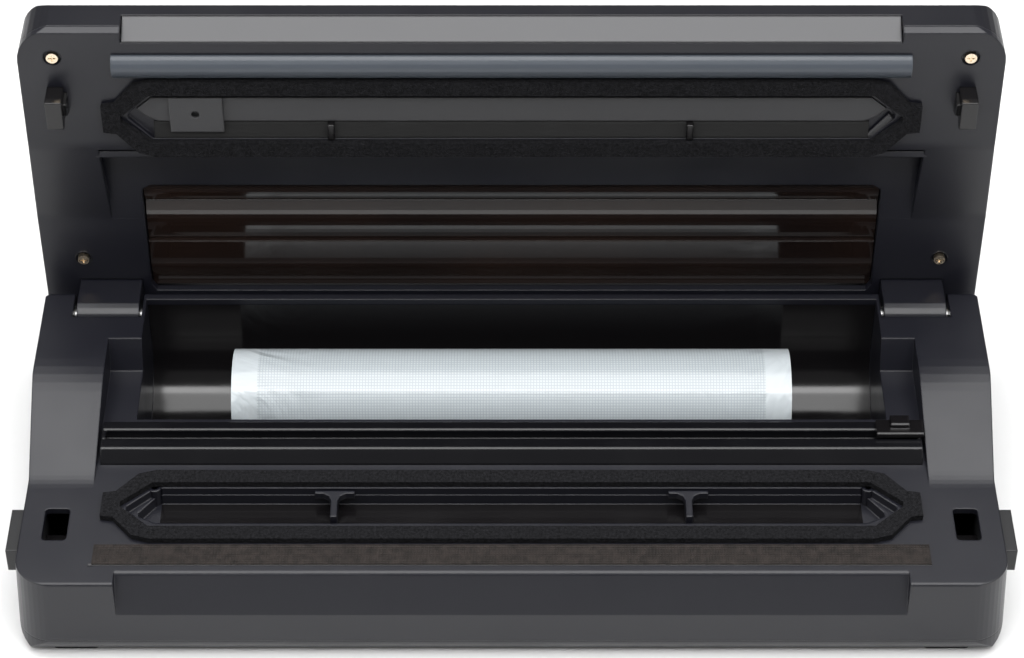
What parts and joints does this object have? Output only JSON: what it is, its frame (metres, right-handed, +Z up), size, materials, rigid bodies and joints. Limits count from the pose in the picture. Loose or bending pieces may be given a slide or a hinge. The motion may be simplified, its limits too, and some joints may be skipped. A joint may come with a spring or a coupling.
{
  "type": "vacuum sealer",
  "caption": "Countertop vacuum bag sealer with hinged lid shown open, rear bag roll bay, sliding bag cutter, foam vacuum chamber, heating strip and side release buttons",
  "frame": {"origin": "on the plane the feet stand on, under the middle of the whole object with its lid open", "axes": "+X to the right seen from the front, +Y to the back, +Z up; front faces -Y"},
  "size_m": [0.3912, 0.1786, 0.194],
  "materials": {
    "shell_plastic": "satin, fine moulded texture",
    "lid_plastic": "satin, fine moulded texture",
    "foot_rubber": "matte",
    "screw_steel": "zinc plated",
    "screw_brass": "yellow zinc plated",
    "foam": "open-cell foam",
    "silicone": "smooth",
    "wire_steel": "plain",
    "ptfe": "woven, PTFE coated",
    "rail_plastic": "satin",
    "gloss_trim": "gloss",
    "bag_film": "embossed film, soft sheen",
    "core_card": "plain",
    "button_plastic": "satin",
    "motor_steel": "plain",
    "board": "solder mask",
    "smoked": "smoked, high gloss",
    "strip_rubber": "satin silicone",
    "panel_plastic": "satin",
    "grip_plastic": "satin",
    "key_plastic": "satin"
  },
  "bodies": {
    "base": {"lower_shell": "shell_plastic", "deck_shell": "shell_plastic", "feet": "foot_rubber", "base_screws": "screw_steel", "base_gasket": "foam", "seal_bed": "silicone", "heating_element": "wire_steel", "ptfe_tape": "ptfe", "bag_supports": "shell_plastic", "air_bosses": "shell_plastic", "cutter_rail": "rail_plastic", "latch_spring_left": "wire_steel", "latch_spring_right": "wire_steel", "pump_housing": "gloss_trim", "pump_motor": "motor_steel", "transformer": "motor_steel", "control_board": "board", "vacuum_tube": "silicone", "hinge_pins": "wire_steel"},
    "lid": {"lid_shell": "lid_plastic", "lid_panel": "shell_plastic", "lid_window": "smoked", "lid_gasket": "foam", "press_strip": "strip_rubber", "lid_hook_left": "gloss_trim", "lid_hook_right": "gloss_trim", "hinge_arms": "shell_plastic", "air_port_plate": "panel_plastic", "lid_screws": "screw_brass", "grip_pad": "grip_plastic"},
    "button_left": {"release_button_left": "button_plastic", "latch_catch_left": "gloss_trim"},
    "button_right": {"release_button_right": "button_plastic", "latch_catch_right": "gloss_trim"},
    "slider": {"cutter_slider": "gloss_trim", "cutter_blade": "wire_steel"},
    "roll": {"bag_roll": "bag_film", "roll_core": "core_card"},
    "seal_key": {"key_seal": "key_plastic"},
    "vacuum_key": {"key_vacuum": "key_plastic"}
  },
  "joints": [
    {"name": "lid_hinge", "type": "hinge", "parent": "base", "child": "lid", "pos_m": [0, 0.058, 0.047], "axis": [1, 0, 0], "range_deg": [0, 90]},
    {"name": "release_left", "type": "slide", "parent": "base", "child": "button_left", "axis": [1, 0, 0], "range_m": [0, 0.002], "stiffness_N_per_m": 400, "springref_m": -0.002},
    {"name": "release_right", "type": "slide", "parent": "base", "child": "button_right", "axis": [-1, 0, 0], "range_m": [0, 0.002], "stiffness_N_per_m": 400, "springref_m": -0.002},
    {"name": "cutter_slide", "type": "slide", "parent": "base", "child": "slider", "axis": [-1, 0, 0], "range_m": [0, 0.3]},
    {"name": "roll_spin", "type": "hinge", "parent": "base", "child": "roll", "pos_m": [0, 0.03, 0.027], "axis": [1, 0, 0], "continuous": true},
    {"name": "seal_press", "type": "slide", "parent": "lid", "child": "seal_key", "axis": [0, -1, 0], "range_m": [0, 0.001], "stiffness_N_per_m": 300, "springref_m": -0.001},
    {"name": "vacuum_press", "type": "slide", "parent": "lid", "child": "vacuum_key", "axis": [0, -1, 0], "range_m": [0, 0.001], "stiffness_N_per_m": 300, "springref_m": -0.001}
  ]
}
